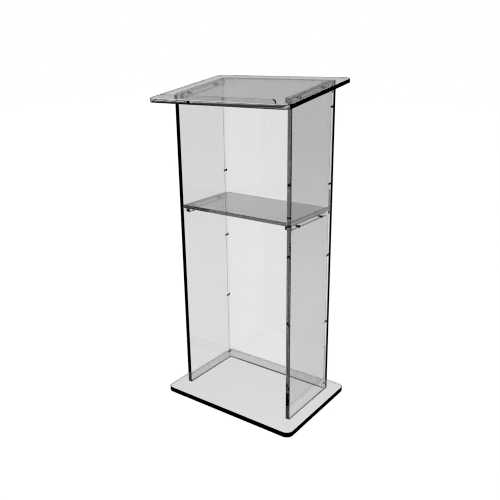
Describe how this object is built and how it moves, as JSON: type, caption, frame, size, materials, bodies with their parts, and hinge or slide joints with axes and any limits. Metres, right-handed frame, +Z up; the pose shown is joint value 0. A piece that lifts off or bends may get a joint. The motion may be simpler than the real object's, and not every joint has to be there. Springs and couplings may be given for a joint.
{
  "type": "lectern stand",
  "caption": "Clear acrylic lectern: upright side panels and back panel on a base plate, a shelf, and a sloping reading plate with a book stop.",
  "frame": {"origin": "on the floor, in the middle of the footprint seen from above", "axes": "+Z up, -Y towards the speaker's open side, X across the width"},
  "size_m": [0.548, 0.4044, 1.1428],
  "materials": {
    "clear_acrylic_base": "polished clear acrylic, dark polished edges",
    "clear_acrylic_panels": "polished clear acrylic, faint grey tint, dark polished edges",
    "clear_acrylic_shelf": "polished clear acrylic, faint grey tint",
    "clear_acrylic_top": "polished clear acrylic, faint grey tint, dark polished edges",
    "clear_acrylic_cleats": "polished clear acrylic bar",
    "black_screws": "black oxide steel, satin"
  },
  "bodies": {
    "root": {"back_panel": "clear_acrylic_panels", "base_plate": "clear_acrylic_base", "book_stop": "clear_acrylic_top", "left_side_panel": "clear_acrylic_panels", "plate_cleat_left": "clear_acrylic_cleats", "plate_cleat_right": "clear_acrylic_cleats", "plate_cleat_screws_left": "black_screws", "plate_cleat_screws_right": "black_screws", "reading_plate": "clear_acrylic_top", "rear_screws_left": "black_screws", "rear_screws_right": "black_screws", "right_side_panel": "clear_acrylic_panels", "shelf": "clear_acrylic_shelf", "shelf_cleat_left": "clear_acrylic_cleats", "shelf_cleat_right": "clear_acrylic_cleats", "shelf_cleat_screws_left": "black_screws", "shelf_cleat_screws_right": "black_screws"}
  },
  "joints": []
}
